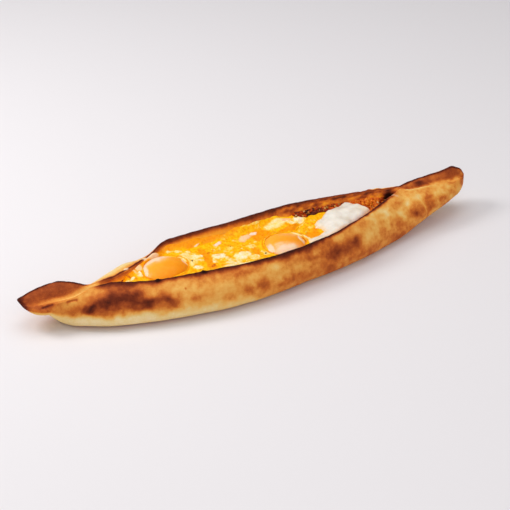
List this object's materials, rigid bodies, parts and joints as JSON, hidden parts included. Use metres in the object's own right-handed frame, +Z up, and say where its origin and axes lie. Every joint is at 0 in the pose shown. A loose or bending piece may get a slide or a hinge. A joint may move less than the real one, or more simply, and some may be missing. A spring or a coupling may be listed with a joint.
{
  "type": "minced meat and egg pide",
  "caption": "Long boat-shaped flatbread with folded, browned edges and pinched tips, filled with minced meat, melted cheese, egg white and whole yolks.",
  "frame": {"origin": "under the middle of the bread, on the surface that it rests on", "axes": "+X along the bread towards its thick, blunt tip; +Y across it, away from the side that it is seen from; +Z up"},
  "size_m": [0.458, 0.1111, 0.0414],
  "materials": {
    "crust": "baked wheat dough, matt, pale cream to golden brown with scorched patches and burnt rims",
    "minced_meat": "browned minced meat with tomato, oily and coarse",
    "egg_spread": "spread egg yolk and melted cheese, wet and glossy, yellow with cream patches",
    "egg_white": "set egg white, smooth and moist",
    "yolk": "soft yolk under a thin film of white, glossy"
  },
  "bodies": {
    "root": {"crust": "crust", "minced_meat": "minced_meat", "egg_layer": "egg_spread", "egg_white": "egg_white", "yolk_left": "yolk", "yolk_right": "yolk"}
  },
  "joints": []
}
